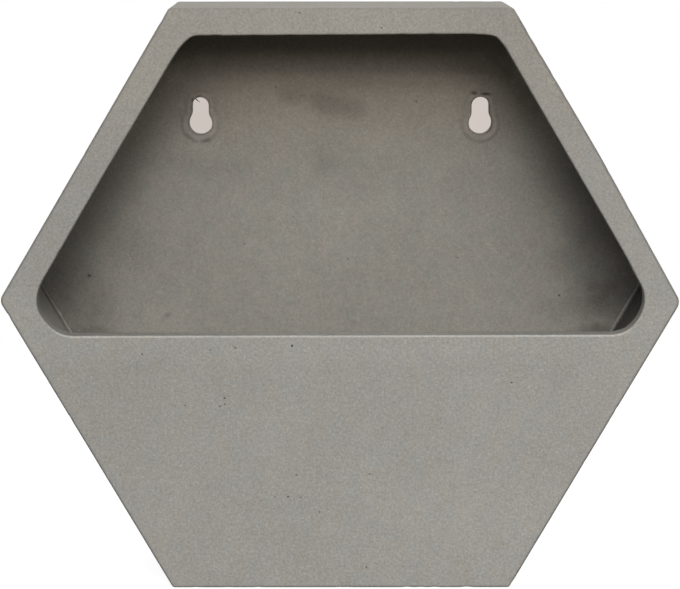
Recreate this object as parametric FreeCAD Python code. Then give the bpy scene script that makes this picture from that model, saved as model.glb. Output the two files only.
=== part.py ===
import FreeCAD, Part
import math
import os

# Hexagonal wall planter in lightweight fibre-reinforced concrete.
#
# The shell is one thin-walled casting: a flat front with a rounded window in its upper half, and
# six side walls behind it. The window leaves a rim all round it that is wider than the walls, so
# its edge overhangs the cavity. Below the window the front is closed, which makes the pocket for
# soil. The back is open on the shell as cast. A slab with two hanging keyholes is bedded into it,
# flush with the wall side, on a ring of bonding mortar that squeezes out as a bead inside.
# A rubber plug closes the drain hole in the pocket's floor.
#
# Millimetres. The origin is the middle of the back face, which lies on the wall: +X is to the
# right seen from the front, +Y runs into the wall and +Z is up.

# ---- Driving dimensions -------------------------------------------------------------------------

width = 350.0  # across the two side corners, before they are rounded
height = 300.0  # between the top and bottom flats
flat_length = 175.0  # the top and bottom flats, before their corners are rounded
depth = 95.0  # from the wall to the front face

front_thickness = 12.0
side_wall = 10.0
panel_thickness = 12.0

side_corner_radius = 5.0
top_corner_radius = 3.0
bottom_corner_radius = 2.0
inner_corner_radius = 6.0  # in the cavity, where two side walls meet
cove_radius = 2.4  # in the cavity, where a side wall meets the front
front_edge_radius = 1.2
back_edge_radius = 0.8

rim_width = 13.6  # front face left between the outer edge and the window
sill_drop = 17.6  # the window's lower edge, below the side corners
window_top_radius = 16.0
window_sill_radius = 18.0
window_edge_radius = 1.5

bond_gap = 1.2  # mortar between the panel's edge and the walls
bead_leg = 1.5  # the bead that squeezes out, along the panel and along the wall

keyhole_spacing = 150.0
keyhole_height = 86.0  # the entry lobes' centres, above the side corners
entry_radius = 6.3  # the lobe that a screw head goes in through
slot_width = 9.5  # the slot that the screw's shank slides up
keyhole_travel = 9.5  # from the lobe's centre to the slot's upper centre
neck_blend_radius = 7.0  # where the lobe runs into the slot
keyhole_edge_radius = 0.7
collar_width = 4.0  # the raised ring round each keyhole
collar_height = 0.8
collar_slope = 0.7  # how far the ring's outer edge leans in over its height

drain_diameter = 14.0
plug_clearance = 0.05  # between the plug's stem and the drain hole
plug_flange_diameter = 22.0
plug_flange_thickness = 3.0
plug_flange_edge_radius = 1.0
plug_stem_recess = 1.2  # the stem ends this far above the planter's underside
plug_taper = 0.7  # how much smaller the stem's radius is at its lower end
plug_core_diameter = 6.0  # moulded hollow in the stem
plug_core_depth = 6.0
plug_nub_diameter = 9.0  # the knob that a finger and thumb pull
plug_nub_height = 5.0

overcut = 1.0  # how far a cutting solid runs past the face that it opens

# ---- Worked out from them -----------------------------------------------------------------------

half_width = width / 2
half_height = height / 2
half_flat = flat_length / 2
lean = math.atan((half_width - half_flat) / half_height)  # of a side, from the vertical

front_y = -depth
cavity_front_y = front_y + front_thickness
panel_y = -panel_thickness  # the panel's face inside the planter
floor_z = -half_height + side_wall
drain_y = (cavity_front_y + panel_y) / 2


# ---- Outlines -----------------------------------------------------------------------------------


def side_x(z, inset):
    """Half the hexagon's width at height z, on a side moved inwards by inset."""
    return half_width - inset / math.cos(lean) - abs(z) * math.tan(lean)


def hexagon(inset):
    """Corners (x, z) of the hexagon moved inwards by inset, anticlockwise from the right one."""
    flat_z = half_height - inset
    flat_x = side_x(flat_z, inset)
    return [
        (side_x(0, inset), 0),
        (flat_x, flat_z),
        (-flat_x, flat_z),
        (-side_x(0, inset), 0),
        (-flat_x, -flat_z),
        (flat_x, -flat_z),
    ]


def outline(corners, radii, y):
    """Closed wire at depth y through corners, each rounded with its radius (0 leaves it sharp)."""
    starts, ends, middles = [], [], []
    for i, corner in enumerate(corners):
        here = FreeCAD.Vector(corner[0], y, corner[1])
        before = FreeCAD.Vector(corners[i - 1][0], y, corners[i - 1][1]) - here
        after_xz = corners[(i + 1) % len(corners)]
        after = FreeCAD.Vector(after_xz[0], y, after_xz[1]) - here
        before.normalize()
        after.normalize()
        half_angle = before.getAngle(after) / 2
        tangent = radii[i] / math.tan(half_angle)
        bisector = before + after
        bisector.normalize()
        starts.append(here + before * tangent)
        ends.append(here + after * tangent)
        middles.append(here + bisector * (radii[i] / math.sin(half_angle) - radii[i]))
    edges = []
    for i in range(len(corners)):
        if radii[i] > 0:
            edges.append(Part.Arc(starts[i], middles[i], ends[i]).toShape())
        edges.append(Part.makeLine(ends[i], starts[(i + 1) % len(corners)]))
    return Part.Wire(edges)


def outer_outline(y):
    """The planter's outside."""
    radii = [side_corner_radius] + [top_corner_radius] * 2 + [side_corner_radius]
    return outline(hexagon(0), radii + [bottom_corner_radius] * 2, y)


def inner_outline(y, inset=0.0):
    """The cavity's walls, or a line inset from them."""
    radius = max(inner_corner_radius - inset, 0.5)
    return outline(hexagon(side_wall + inset), [radius] * 6, y)


def window_outline(y):
    """The window in the front: the upper sides run on straight down to the sill."""
    top_z = half_height - rim_width
    top_x = side_x(top_z, rim_width)
    sill_x = side_x(0, rim_width) + sill_drop * math.tan(lean)
    corners = [(sill_x, -sill_drop), (top_x, top_z), (-top_x, top_z), (-sill_x, -sill_drop)]
    radii = [window_sill_radius, window_top_radius, window_top_radius, window_sill_radius]
    return outline(corners, radii, y)


def keyhole_outline(x, y, grow=0.0):
    """A keyhole, round lobe below and slot above, or a line that lies grow outside it."""
    lobe, half_slot = entry_radius + grow, slot_width / 2 + grow
    blend = neck_blend_radius - grow
    blend_x = half_slot + blend
    blend_z = math.sqrt((lobe + blend) ** 2 - blend_x**2)
    meet_angle = math.atan2(blend_z, blend_x)  # where lobe and blend touch, seen from the lobe
    mid_angle = (math.pi + math.pi + meet_angle) / 2  # half-way round the blend

    def point(px, pz):
        return FreeCAD.Vector(x + px, y, keyhole_height + pz)

    def arc(*points):
        return Part.Arc(*[point(px, pz) for px, pz in points]).toShape()

    meet = (lobe * math.cos(meet_angle), lobe * math.sin(meet_angle))
    bend = (blend_x + blend * math.cos(mid_angle), blend_z + blend * math.sin(mid_angle))
    top = (half_slot, keyhole_travel)
    neck = (half_slot, blend_z)

    def mirrored(p):
        return (-p[0], p[1])

    return Part.Wire([
        arc(mirrored(meet), (0, -lobe), meet),
        arc(meet, bend, neck),
        Part.makeLine(point(*neck), point(*top)),
        arc(top, (0, keyhole_travel + half_slot), mirrored(top)),
        Part.makeLine(point(*mirrored(top)), point(*mirrored(neck))),
        arc(mirrored(neck), mirrored(bend), mirrored(meet)),
    ])


# ---- Solids -------------------------------------------------------------------------------------


def slab(wire, length):
    """The wire's flat face pushed length along Y."""
    return Part.Face(wire).extrude(FreeCAD.Vector(0, length, 0))


def edges_at(shape, y, inside=None):
    """The shape's edges that lie at depth y, all of them or only those inside a wire's box."""
    room = (inside or shape).BoundBox
    room.enlarge(0.01)
    found = []
    for edge in shape.Edges:
        points = [vertex.Point for vertex in edge.Vertexes] + [edge.CenterOfMass]
        at_depth = all(abs(point.y - y) < 1e-4 for point in points)
        if at_depth and all(room.isInside(point) for point in points):
            found.append(edge)
    return found


def planter_shell():
    """The casting: front, window and side walls, open at the back, with the drain hole."""
    block = slab(outer_outline(front_y), depth)
    block = block.makeFillet(front_edge_radius, edges_at(block, front_y))
    block = block.makeFillet(back_edge_radius, edges_at(block, 0))

    cavity = slab(inner_outline(cavity_front_y), -cavity_front_y + overcut)
    overhang = rim_width - side_wall
    cove = min(cove_radius, 0.9 * overhang) if overhang > 0 else cove_radius
    cavity = cavity.makeFillet(cove, edges_at(cavity, cavity_front_y))
    shell = block.cut(cavity)

    window = slab(window_outline(front_y - overcut), front_thickness + 2 * overcut)
    shell = shell.cut(window)
    lip = edges_at(shell, front_y, window_outline(front_y))
    shell = shell.makeFillet(window_edge_radius, lip)

    drain_base = FreeCAD.Vector(0, drain_y, -half_height - overcut)
    drain = Part.makeCylinder(drain_diameter / 2, side_wall + 2 * overcut, drain_base)
    return shell.cut(drain)


def back_panel():
    """The slab that closes the back, with a raised collar and a keyhole at each side."""
    panel = slab(inner_outline(panel_y, bond_gap), panel_thickness)
    collar_y = panel_y - collar_height
    for side in (-1, 1):
        x = side * keyhole_spacing / 2
        foot = keyhole_outline(x, panel_y, collar_width)
        brow = keyhole_outline(x, collar_y, collar_width - collar_slope)
        panel = panel.fuse(Part.makeLoft([foot, brow], True, True))
        opening = slab(keyhole_outline(x, collar_y - overcut), -collar_y + 2 * overcut)
        panel = panel.cut(opening)
        mouth = edges_at(panel, collar_y, keyhole_outline(x, collar_y))
        panel = panel.makeFillet(keyhole_edge_radius, mouth)
    return panel.removeSplitter()


def bond_seam():
    """The mortar ring between the panel's edge and the walls, with its bead inside the cavity."""
    bead_y = panel_y - bead_leg
    ring = slab(inner_outline(bead_y), panel_thickness + bead_leg)
    ring = ring.cut(slab(inner_outline(panel_y, bond_gap), panel_thickness + overcut))
    hollow = Part.makeLoft([inner_outline(bead_y), inner_outline(panel_y, bond_gap + bead_leg)], True)
    return ring.cut(hollow).removeSplitter()


def drain_plug():
    """The rubber plug: a flange on the pocket's floor, a tapered stem in the hole and a knob."""
    stem_radius = drain_diameter / 2 - plug_clearance
    stem_end = -half_height + plug_stem_recess
    stem_middle = (floor_z + stem_end) / 2
    flange_top = floor_z + plug_flange_thickness
    flange_radius = plug_flange_diameter / 2
    nub_radius = plug_nub_diameter / 2
    profile = [
        (0, stem_end + plug_core_depth),
        (plug_core_diameter / 2, stem_end + plug_core_depth),
        (plug_core_diameter / 2, stem_end),
        (stem_radius - plug_taper, stem_end),
        (stem_radius, stem_middle),
        (stem_radius, floor_z),
        (flange_radius, floor_z),
        (flange_radius, flange_top),
        (nub_radius, flange_top),
        (nub_radius, flange_top + plug_nub_height),
        (0, flange_top + plug_nub_height),
    ]
    points = [FreeCAD.Vector(r, drain_y, z) for r, z in profile]
    face = Part.Face(Part.makePolygon(points + points[:1]))
    axis_point = FreeCAD.Vector(0, drain_y, 0)
    plug = face.revolve(axis_point, FreeCAD.Vector(0, 0, 1), 360)
    rims = [e for e in plug.Edges if rounded_on_plug(e, flange_top, flange_radius, nub_radius)]
    return plug.makeFillet(plug_flange_edge_radius, rims)


def rounded_on_plug(edge, flange_top, flange_radius, nub_radius):
    """Whether this is the flange's or the knob's upper rim."""
    box = edge.BoundBox
    if box.ZLength > 1e-4:
        return False
    at_flange = abs(box.ZMax - flange_top) < 1e-4 and abs(box.XMax - flange_radius) < 1e-3
    nub_top = flange_top + plug_nub_height
    at_nub = abs(box.ZMax - nub_top) < 1e-4 and abs(box.XMax - nub_radius) < 1e-3
    return at_flange or at_nub


def export(name, shape):
    """Writes one sub-part and prints what it is made of."""
    shape.exportStep(f"parts/{name}.step")
    size = shape.BoundBox
    print(
        f"{name}: {len(shape.Solids)} solid, valid {shape.isValid()}, "
        f"{shape.Volume / 1000:.1f} cm3, "
        f"{size.XLength:.1f} x {size.YLength:.1f} x {size.ZLength:.1f} mm"
    )


os.makedirs("parts", exist_ok=True)
export("planter_shell", planter_shell())
export("back_panel", back_panel())
export("bond_seam", bond_seam())
export("drain_plug", drain_plug())
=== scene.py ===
# %% [markdown]
# # A wall planter in grey concrete
#
# This lesson dresses a finished construction model, piece by piece, until it looks like the real
# planter: a hexagonal concrete shell with a wide window in its front, a back panel with two
# hanging keyholes, a seam of bonding mortar and a rubber drain plug. The construction model is
# the frame. It says where every piece is, so we never place anything by eye. We read it first,
# and keep the box that it fills, because the dressed planter has to fill the same one.

# %% Load the frame
import math
import bmesh
import bpy
import numpy as np
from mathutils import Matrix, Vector, noise
from mathutils.geometry import delaunay_2d_cdt


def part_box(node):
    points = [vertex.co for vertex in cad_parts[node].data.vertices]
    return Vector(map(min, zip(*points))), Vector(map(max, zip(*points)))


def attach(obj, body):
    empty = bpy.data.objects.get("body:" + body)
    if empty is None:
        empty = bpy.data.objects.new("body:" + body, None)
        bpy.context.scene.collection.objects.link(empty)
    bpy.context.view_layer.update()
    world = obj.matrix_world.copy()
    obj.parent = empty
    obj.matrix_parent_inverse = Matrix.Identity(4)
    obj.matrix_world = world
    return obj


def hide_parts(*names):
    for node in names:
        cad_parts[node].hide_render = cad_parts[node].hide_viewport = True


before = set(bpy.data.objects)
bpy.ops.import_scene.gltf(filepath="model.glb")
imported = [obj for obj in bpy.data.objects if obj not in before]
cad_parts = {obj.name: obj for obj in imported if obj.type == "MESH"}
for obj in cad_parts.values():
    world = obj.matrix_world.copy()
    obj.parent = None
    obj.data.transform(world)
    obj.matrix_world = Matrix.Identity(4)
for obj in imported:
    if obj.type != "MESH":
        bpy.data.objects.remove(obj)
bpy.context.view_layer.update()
MM = 0.001
shell_low, shell_high = [np.array(corner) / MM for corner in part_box("planter_shell")]
print("shell from", shell_low.round(2), "to", shell_high.round(2), "mm")

# %% [markdown]
# ## The camera
#
# A camera could be placed by trial, but straight edges in a picture pin it down. The top face
# shows as a thin band, so the eye is a little above the planter, and the two lower sides lean in
# a touch more than the upper ones, which gives the distance. A long lens from 1.5 m away is what
# a studio would use. The camera looks level along +Y, then tips down by the angle that we found.

# %% Place the camera
EYE = Vector((-0.0001, shell_low[1] * MM - 1.542, 0.2052))
TIP_DOWN = 0.130
ROLL = 0.001
PICTURE_WIDTH = 680
FOCAL_PIXELS = 3036.0

camera = bpy.data.objects.new("camera", bpy.data.cameras.new("camera"))
bpy.context.scene.collection.objects.link(camera)
camera.data.sensor_width = 36.0
camera.data.lens = camera.data.sensor_width * FOCAL_PIXELS / PICTURE_WIDTH
camera.location = EYE
camera.rotation_euler = (math.pi / 2 - TIP_DOWN, ROLL, 0)
bpy.context.scene.camera = camera
print("lens", round(camera.data.lens, 1), "mm")

# %% [markdown]
# ## Outlines made of arcs
#
# Every form on this planter follows an outline in the front view: the outside hexagon, the
# cavity, the window and the keyholes. Each is a chain of arcs joined by straight lines. We could
# draw polygons and bevel them later, but then an edge's rounding would not follow the corners.
# So an outline is a list of arcs, and it keeps the outward normal of each of its points. Moving
# the points along their normals gives a parallel outline, which is what an eased edge needs.
# From here on, sizes are in millimetres, in the front view's own x and z.


# %% Outlines
def unit(vector):
    return vector / np.linalg.norm(vector)


class Outline:
    """A closed outline, anticlockwise, through arcs (centre, radius, first angle, sweep)."""

    def __init__(self, arcs, pitch=1.4, turn=math.radians(8)):
        points, normals, self.arcs, self.sides = [], [], [], []
        for i, (centre, radius, first, sweep) in enumerate(arcs):
            count = max(3, math.ceil(abs(sweep) / turn))
            start = len(points)
            for k in range(count + 1):
                angle = first + sweep * k / count
                out = np.array([math.cos(angle), math.sin(angle)])
                points.append(centre + radius * out)
                normals.append(out if sweep > 0 else -out)
            self.arcs.append(list(range(start, len(points))))
            centre, radius, first, _ = arcs[(i + 1) % len(arcs)]
            there = centre + radius * np.array([math.cos(first), math.sin(first)])
            run = there - points[-1]
            length = np.linalg.norm(run)
            if length < 1e-6:
                points.pop()
                normals.pop()
                continue
            here, out = points[-1], np.array([run[1], -run[0]]) / length
            side = [len(points) - 1]
            for k in range(1, round(length / pitch)):
                side.append(len(points))
                points.append(here + run * k / round(length / pitch))
                normals.append(out)
            self.sides.append(side + [len(points)])
        self.points, self.normals = np.array(points), np.array(normals)
        self.sides = [[k % len(points) for k in side] for side in self.sides]

    def moved(self, out):
        """Its points moved outwards, by one distance or by one for each point."""
        return self.points + self.normals * np.reshape(out, (-1, 1))

    def ring(self, out, y):
        """The moved outline in space, at depth y."""
        flat = self.moved(out)
        return np.column_stack([flat[:, 0], np.broadcast_to(y, len(flat)), flat[:, 1]])

    def side_length(self, number):
        side = self.points[self.sides[number]]
        return np.linalg.norm(side[-1] - side[0])


def corner_arcs(corners, radii):
    """The arcs that round the corners of a polygon."""
    arcs = []
    for i, radius in enumerate(radii):
        here = corners[i]
        before = unit(corners[i - 1] - here)
        after = unit(corners[(i + 1) % len(corners)] - here)
        half = math.acos(before @ after) / 2
        centre = here + unit(before + after) * radius / math.sin(half)
        touch = here + before * radius / math.tan(half) - centre
        arcs.append((centre, radius, math.atan2(touch[1], touch[0]), math.pi - 2 * half))
    return arcs


# %% [markdown]
# ## The planter's own outlines
#
# The sizes are the construction model's. The height and depth come from the frame, and the width
# across the sharp corners and the walls are repeated here. The real casting is not quite
# symmetrical, so each corner has its own radius. The window's corners slipped by up to a
# millimetre and a half, and its outline wanders a little: each row of WANDER gives a place, how
# far about it the outline moves, and how far out. The keyholes came out a touch tight.

# %% Hexagon, cavity, window and keyholes
WIDTH = 350.0
FLAT = 175.0
HEIGHT = shell_high[2] - shell_low[2]
FRONT = shell_low[1]
FRONT_PLATE = 12.0
WALL = 10.0
PANEL = 12.0
RIM = 13.6
SILL = -17.6
GAP = 1.2
LEAN = math.atan((WIDTH - FLAT) / HEIGHT)


def hexagon(inset):
    """The corners of the hexagon moved in by inset, anticlockwise from the right."""
    flat_z = HEIGHT / 2 - inset
    side_x = WIDTH / 2 - inset / math.cos(LEAN)
    flat_x = side_x - flat_z * math.tan(LEAN)
    points = [(side_x, 0), (flat_x, flat_z), (-flat_x, flat_z)]
    points += [(-side_x, 0), (-flat_x, -flat_z), (flat_x, -flat_z)]
    return np.array(points, float)


def keyhole_arcs(x, z, lobe, half_slot, travel, blend=7.0):
    """A round entry with a narrower slot above, its neck blended."""
    out = half_slot + blend
    up = math.sqrt((lobe + blend) ** 2 - out**2)
    meet = math.atan2(up, out)
    return [
        (np.array([x, z]), lobe, math.pi - meet, math.pi + 2 * meet),
        (np.array([x + out, z + up]), blend, math.pi + meet, -meet),
        (np.array([x, z + travel]), half_slot, 0.0, math.pi),
        (np.array([x - out, z + up]), blend, 0.0, -meet),
    ]


outer = Outline(corner_arcs(hexagon(0), [6.2, 2.6, 2.2, 5.4, 2.0, 2.0]))
cavity = Outline(corner_arcs(hexagon(WALL), [6.0] * 6))
top = hexagon(RIM)[1]
sill_x = hexagon(RIM)[0][0] - SILL * math.tan(LEAN)
window_corners = np.array([(sill_x, SILL), top, (-top[0], top[1]), (-sill_x, SILL)])
window_corners += [(-0.1, 0.35), (0.0, 0.2), (1.3, -0.65), (0.15, -0.1)]
window = Outline(corner_arcs(window_corners, [18.5, 15.5, 17.0, 19.5]))
WANDER = [
    (-124, 58, 45, 0.45), (-154, -3, 9, 1.3), (-145, -15, 7, 0.7), (-74.5, 134.8, 4, 0.7),
    (-82, 129, 4, -0.25), (78.5, 134.5, 3, 0.65), (72, 136.5, 3.5, -0.4), (146.5, -15, 6, 0.5),
    (152.5, 12, 6, -0.65), (132, 45, 30, 0.15),
]
for x, z, reach, out in WANDER:
    nearness = np.exp(-((np.hypot(*(window.points - (x, z)).T) / reach) ** 2))
    window.points = window.moved(out * nearness)
KEYHOLE_Z = 85.3
keyholes = [
    Outline(keyhole_arcs(-75.0, KEYHOLE_Z, 6.1, 4.3, 9.5), pitch=1.0),
    Outline(keyhole_arcs(75.0, KEYHOLE_Z, 6.1, 4.6, 9.3), pitch=1.0),
]
print("window", np.ptp(window.points, axis=0).round(1), "mm")

# %% [markdown]
# ## A skin of patches
#
# A piece of concrete is one closed surface. We could push a box through modifiers, but pinholes,
# eased edges and a hand-made unevenness all need points in the right places, so the surface is
# sewn from patches instead. A *band* is rows of quads between rings, for rounded edges and
# corners. A *sheet* fills a flat face, round any holes, with a net of triangles. Patches share
# their border points, so they weld into one skin, and a weld that leaves an open edge is an
# error we want to hear about.


# %% Bands
class Skin:
    """A piece's surface as loose patches, in millimetres. Each point keeps how far it sinks in,
    and how much painted shade it carries: 1 is the most, 0 is none, below 0 is painted light."""

    def __init__(self):
        self.points, self.sinks, self.raws, self.faces = [], [], [], []
        self.size, self.raw = 0, 0.0

    def patch(self, points, faces, sinks=None):
        self.points.append(np.asarray(points, float))
        self.sinks.append(np.zeros(len(points)) if sinks is None else np.asarray(sinks))
        self.raws.append(np.broadcast_to(self.raw, len(points)))
        self.faces += [tuple(self.size + k for k in face) for face in faces]
        self.size += len(points)

    def band(self, rings, closed=True):
        """Quads between neighbouring rings of the same number of points."""
        wide = len(rings[0])
        last = wide if closed else wide - 1
        faces = []
        for row in range(len(rings) - 1):
            for k in range(last):
                a, b = row * wide + k, row * wide + (k + 1) % wide
                faces.append((a, b, b + wide, a + wide))
        self.patch(np.vstack(rings), faces)

    def cap(self, ring, tip):
        """A fan that closes a ring at its tip."""
        wide = len(ring)
        self.patch(np.vstack([ring, [tip]]), [(k, (k + 1) % wide, wide) for k in range(wide)])


def eased(outline, y, radius, side, into, start=0.0, steps=5, margin=0.4):
    """Rings round a quarter-round edge: from the wall, over the edge, to the face at depth y."""
    rings = [outline.ring(start, y + into * (radius + margin))]
    for k in range(steps + 1):
        angle = math.pi / 2 * k / steps
        out = start + side * radius * (1 - math.cos(angle))
        rings.append(outline.ring(out, y + into * radius * (1 - math.sin(angle))))
    rings.append(outline.ring(start + side * (radius + margin), y))
    return rings


# %% [markdown]
# A sheet is a constrained Delaunay net: its borders are fixed, and a staggered grid fills the
# middle. Wherever the concrete has a pinhole, the grid makes way for a few close rings of points
# that sink in like a bowl, so the pinhole is a real hollow that catches shadow from any side.

# %% Sheets with pinholes
BOWL = ((1.35, 0.0), (1.0, 0.04), (0.88, 0.35), (0.7, 0.72), (0.4, 0.95), (0.0, 1.0))


def within(points, loop):
    """Which points lie inside a closed loop."""
    x, y = points[:, :1], points[:, 1:]
    ax, ay = loop.T
    bx, by = np.roll(loop, -1, 0).T
    crosses = (ay > y) != (by > y)
    slope = (bx - ax) / np.where(by == ay, 1, by - ay)
    return (crosses & (x < ax + (y - ay) * slope)).sum(1) % 2 == 1


def pinhole_points(marks):
    """The rings of points of each pinhole (u, v, radius, depth), and how far they sink."""
    points, sinks = [], []
    for u, v, radius, depth in marks:
        for share, sink in BOWL:
            count = 12 if share else 1
            for k in range(count):
                angle = math.tau * k / count
                across, up = math.cos(angle), math.sin(angle)
                points.append((u + radius * share * across, v + radius * share * up))
                sinks.append(sink * depth)
    return np.array(points).reshape(-1, 2), np.array(sinks)


def spread_inside(flat, faces, borders, loops):
    """The triangles that can be reached from a plainly inner one without crossing a border."""
    corners = flat[np.array(faces)]
    legs = corners[:, 1:] - corners[:, :1]
    areas = np.abs(legs[:, 0, 0] * legs[:, 1, 1] - legs[:, 0, 1] * legs[:, 1, 0])
    inner = within(corners.mean(1), loops[0])
    for loop in loops[1:]:
        inner &= ~within(corners.mean(1), loop)
    touching = {}
    for number, face in enumerate(faces):
        for k in range(3):
            touching.setdefault(frozenset((face[k], face[k - 1])), []).append(number)
    reached, waiting = set(), [int(np.argmax(areas * inner))]
    while waiting:
        number = waiting.pop()
        if number in reached:
            continue
        reached.add(number)
        for k in range(3):
            edge = frozenset((faces[number][k], faces[number][k - 1]))
            if edge not in borders:
                waiting += touching[edge]
    return [faces[number] for number in sorted(reached)]


def sheet(skin, loops, place, pitch, marks=()):
    """Fills loops[0], less the other loops, and puts the net in space with place(u, v)."""
    border = np.vstack(loops)
    (low_u, low_v), (high_u, high_v) = border.min(0), border.max(0)
    rows = np.arange(low_v + pitch / 2, high_v, pitch * math.sqrt(3) / 2)
    columns = np.arange(low_u, high_u, pitch)
    grid = np.array([(u + pitch / 2 * (k % 2), v) for k, v in enumerate(rows) for u in columns])
    grid = grid[within(grid, loops[0])]
    for loop in loops[1:]:
        grid = grid[~within(grid, loop)]
    near = np.array([np.abs(border - g).max(1).min() for g in grid])
    grid = grid[near > 0.55 * pitch]
    for u, v, radius, _ in marks:
        grid = grid[np.hypot(grid[:, 0] - u, grid[:, 1] - v) > radius * 1.35 + 0.3 * pitch]
    dots, sinks = pinhole_points(marks)
    flat = np.vstack([border, grid, dots])
    sinks = np.concatenate([np.zeros(len(border) + len(grid)), sinks])
    seams, start = [], 0
    for loop in loops:
        seams += [(start + k, start + (k + 1) % len(loop)) for k in range(len(loop))]
        start += len(loop)
    net = delaunay_2d_cdt([Vector(p) for p in flat], seams, [], 0, 1e-5)
    flat = np.array([tuple(p) for p in net[0]])
    sinks = [max([sinks[k] for k in origin], default=0.0) for origin in net[3]]
    borders = {frozenset(edge) for edge, origin in zip(net[1], net[4]) if origin}
    faces = spread_inside(flat, [tuple(face) for face in net[2]], borders, loops)
    skin.patch([place(u, v) for u, v in flat], faces, sinks)


# %% [markdown]
# A wall is what an outline sweeps as it goes back in depth: a band at each corner and a flat
# sheet along each side. The drain hole is a loop in the bottom side's sheet.


# %% Walls
def walls(skin, outline, depths, pitch, marks=None, holes=None):
    """The surface that the outline sweeps through the depths."""
    for arc in outline.arcs:
        skin.band([outline.ring(0, y)[arc] for y in depths], closed=False)
    for number, side in enumerate(outline.sides):
        start, end = outline.points[side[0]], outline.points[side[-1]]
        along = unit(end - start)
        reach = [(outline.points[k] - start) @ along for k in side]
        loop = [(u, depths[0]) for u in reach]
        loop += [(reach[-1], y) for y in depths[1:]]
        loop += [(u, depths[-1]) for u in reach[-2::-1]]
        loop += [(0.0, y) for y in depths[-2:0:-1]]

        def place(u, y, start=start, along=along):
            x, z = start + along * u
            return x, y, z

        loops = [np.array(loop)] + (holes or {}).get(number, [])
        sheet(skin, loops, place, pitch, (marks or {}).get(number, ()))


def steps_between(low, high, pitch):
    return np.linspace(low, high, max(2, round(abs(high - low) / pitch) + 1))


# %% [markdown]
# ## Unevenness and welding
#
# Fresh from its mould, concrete is nearly flat, but never quite. Rather than a bump in the
# finish, which vanishes at the silhouette, we sink the skin itself by a few hundredths to tenths
# of a millimetre, always inwards, so this takes no piece out of its construction model. Small
# nicks along the edges sink the same way.


# %% Weld the skin
def ripple(points, size, seed):
    """Smooth noise from 0 to 1 at the points, with waves about size millimetres long."""
    shift = Vector((seed * 17.3, seed * 5.1, seed * 29.7))
    return np.array([0.5 + 0.5 * noise.noise(Vector(p) / size + shift) for p in points])


def object_from(name, points, faces):
    mesh = bpy.data.meshes.new(name)
    mesh.from_pydata((np.asarray(points) * MM).tolist(), [], [tuple(map(int, f)) for f in faces])
    made = bpy.data.objects.new(name, mesh)
    bpy.context.scene.collection.objects.link(made)
    return made


def weld(name, skin, waves, nicks=(), shape=None):
    """One smooth closed mesh from the skin, sunk by its pinholes, waves and nicks."""
    made = object_from(name, np.vstack(skin.points), skin.faces)
    work = bmesh.new()
    work.from_mesh(made.data)
    layer = work.verts.layers.float.new("pinhole")
    painted_shade_layer = work.verts.layers.float.new("raw")
    for vertex, sink, raw in zip(work.verts, np.concatenate(skin.sinks), np.concatenate(skin.raws)):
        vertex[layer], vertex[painted_shade_layer] = sink, raw
    bmesh.ops.remove_doubles(work, verts=work.verts, dist=0.004 * MM)
    bmesh.ops.recalc_face_normals(work, faces=work.faces)
    loose = sum(len(edge.link_faces) != 2 for edge in work.edges)
    if loose:
        raise ValueError(f"{name}: {loose} edges don't close")
    points = np.array([vertex.co for vertex in work.verts]) / MM
    if shape:
        points = shape(points)
        for vertex, point in zip(work.verts, points):
            vertex.co = Vector(point * MM)
    work.normal_update()
    depth = np.array([vertex[layer] for vertex in work.verts])
    for size, most, seed in waves:
        depth += most * ripple(points, size, seed)
    for spot, radius, most in nicks:
        away = np.linalg.norm(points - spot, axis=1) / radius
        depth += most * np.exp(-(away**2)) * (away < 2.5)
    for vertex, sink in zip(work.verts, depth):
        vertex.co -= vertex.normal * sink * MM
    work.to_mesh(made.data)
    work.free()
    made.data.shade_smooth()
    print(name, len(made.data.vertices), "points", len(made.data.polygons), "faces")
    return made


# %% [markdown]
# ## The shell
#
# The real shell is cast face down in a mould, with the window's rim turned in and the back open.
# Pinholes are listed where the casting shows them on its face, and scattered by chance on the
# sides that no one photographed. Small nicks are scattered along the edges.

# %% Pinholes and nicks on the shell
chance = np.random.default_rng(7)
face_pinholes = [
    (-54, -24.2, 0.55, 0.7), (-25, -23.1, 0.75, 1.0), (-67, -25.2, 0.45, 0.6),
    (-102, -27.4, 0.5, 0.6), (-59.7, -50.3, 0.55, 0.8), (-59.6, -53.4, 0.5, 0.7),
    (-62.1, -54.7, 0.4, 0.6), (-80, -54, 0.45, 0.6), (-23, -90.5, 0.5, 0.7),
    (-27.3, -102, 0.55, 0.8), (-20.6, -102.3, 0.45, 0.6), (-34, -102, 0.4, 0.6),
    (-11, -110, 0.5, 0.7), (88, -42.3, 0.55, 0.8), (13.2, -139, 0.5, 0.7),
    (15, -90, 0.45, 0.6), (-21, 147.3, 0.45, 0.6), (21, 139.6, 0.5, 0.6),
]


def scattered(low, high, count):
    """Small pinholes anywhere in a box of the sheet, kept apart."""
    found = []
    while len(found) < count:
        u, v = chance.uniform(low, high)
        radius = chance.uniform(0.35, 0.8)
        if all(math.hypot(u - a, v - b) > 4 * (radius + r) for a, b, r, _ in found):
            found.append((u, v, radius, radius * chance.uniform(0.9, 1.5)))
    return found


side_length = outer.side_length(0)
outside_pinholes = {k: scattered((5, FRONT + 6), (side_length - 8, -6), 16) for k in range(6)}
inside_pinholes = {k: scattered((5, FRONT + 22), (side_length - 24, -20), 9) for k in range(6)}
inside_pinholes[4] = []
outside_pinholes[4] = [m for m in outside_pinholes[4] if abs(m[0] - side_length / 2) > 16]


def edge_nicks(outline, out, y, count):
    """Small worn places along an edge."""
    spots = outline.ring(out, y)[chance.integers(0, len(outline.points), count)]
    return [(spot, chance.uniform(0.9, 2.4), chance.uniform(0.12, 0.4)) for spot in spots]


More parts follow.
